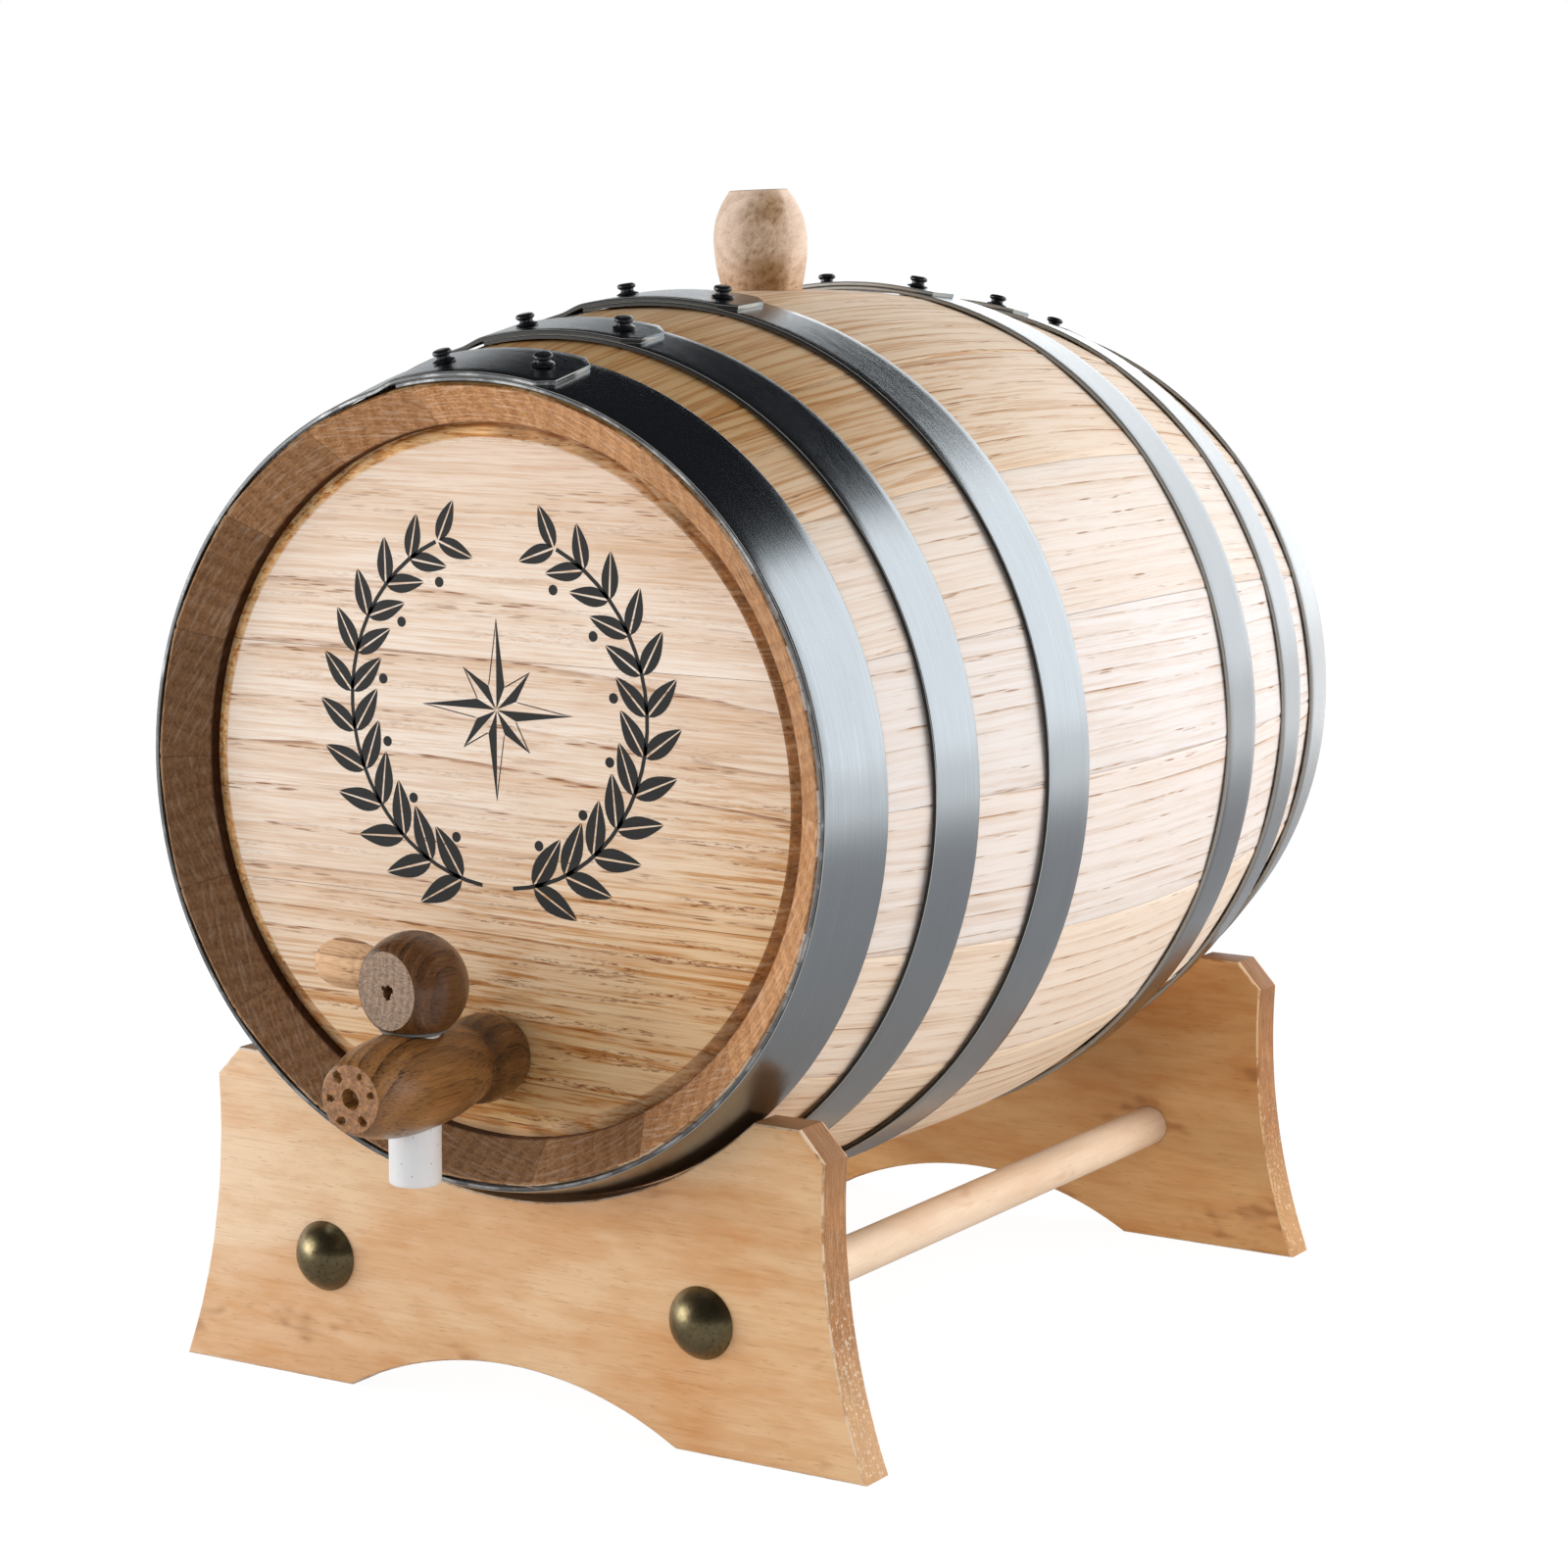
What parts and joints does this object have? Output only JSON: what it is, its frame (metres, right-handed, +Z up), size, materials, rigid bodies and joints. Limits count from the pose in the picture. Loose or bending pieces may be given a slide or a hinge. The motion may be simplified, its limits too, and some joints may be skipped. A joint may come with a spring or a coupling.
{
  "type": "oak cask liquor dispenser",
  "caption": "Small oak cask lying on a two-plate stand, bound by riveted steel hoops, with a turning wooden tap in the front head and a pull-out bung on top.",
  "frame": {"origin": "on the floor, under the middle of the object's whole length, in its plane of symmetry", "axes": "+Z up, cask axis along Y, tap and front head towards -Y, +X to the right as seen from the tap"},
  "size_m": [0.2072, 0.2922, 0.2696],
  "materials": {
    "stave_oak": "sanded, bare",
    "hoop_steel": "blued, satin",
    "head_oak": "sawn, bare",
    "rivet_steel": "blackened",
    "bung_wood": "turned, bare",
    "tap_wood": "turned, oiled",
    "tube_plastic": "moulded",
    "peg_wood": "turned, bare",
    "stand_wood": "sawn, varnished",
    "dowel_wood": "turned, bare",
    "cap_brass": "antique"
  },
  "bodies": {
    "stand": {"stand_plate_front": "stand_wood", "stand_plate_rear": "stand_wood", "stand_dowel_left": "dowel_wood", "stand_dowel_right": "dowel_wood", "stand_caps": "cap_brass"},
    "cask": {"stave_1": "stave_oak", "stave_2": "stave_oak", "stave_3": "stave_oak", "stave_4": "stave_oak", "stave_5": "stave_oak", "stave_6": "stave_oak", "stave_7": "stave_oak", "stave_8": "stave_oak", "stave_9": "stave_oak", "stave_10": "stave_oak", "stave_11": "stave_oak", "stave_12": "stave_oak", "stave_13": "stave_oak", "stave_14": "stave_oak", "stave_15": "stave_oak", "stave_16": "stave_oak", "stave_17": "stave_oak", "stave_18": "stave_oak", "chime_hoop_front": "hoop_steel", "quarter_hoop_front": "hoop_steel", "bilge_hoop_front": "hoop_steel", "bilge_hoop_rear": "hoop_steel", "quarter_hoop_rear": "hoop_steel", "chime_hoop_rear": "hoop_steel", "front_head_board_1": "head_oak", "front_head_board_2": "head_oak", "front_head_board_3": "head_oak", "rear_head_board_1": "head_oak", "rear_head_board_2": "head_oak", "rear_head_board_3": "head_oak", "hoop_rivets": "rivet_steel", "tap_body": "tap_wood"},
    "bung": {"bung": "bung_wood"},
    "tap_key": {"key_tube": "tube_plastic", "key_ball": "tap_wood", "key_peg": "peg_wood"}
  },
  "joints": [
    {"name": "cask_lift", "type": "slide", "parent": "stand", "child": "cask", "axis": [0, 0, 1], "range_m": [0, 0.12]},
    {"name": "bung_pull", "type": "slide", "parent": "cask", "child": "bung", "axis": [-0.0523, 0, 0.9986], "range_m": [0, 0.05]},
    {"name": "key_turn", "type": "hinge", "parent": "cask", "child": "tap_key", "pos_m": [0, -0.12375, 0.0832], "axis": [0, 0, 1], "continuous": true}
  ]
}
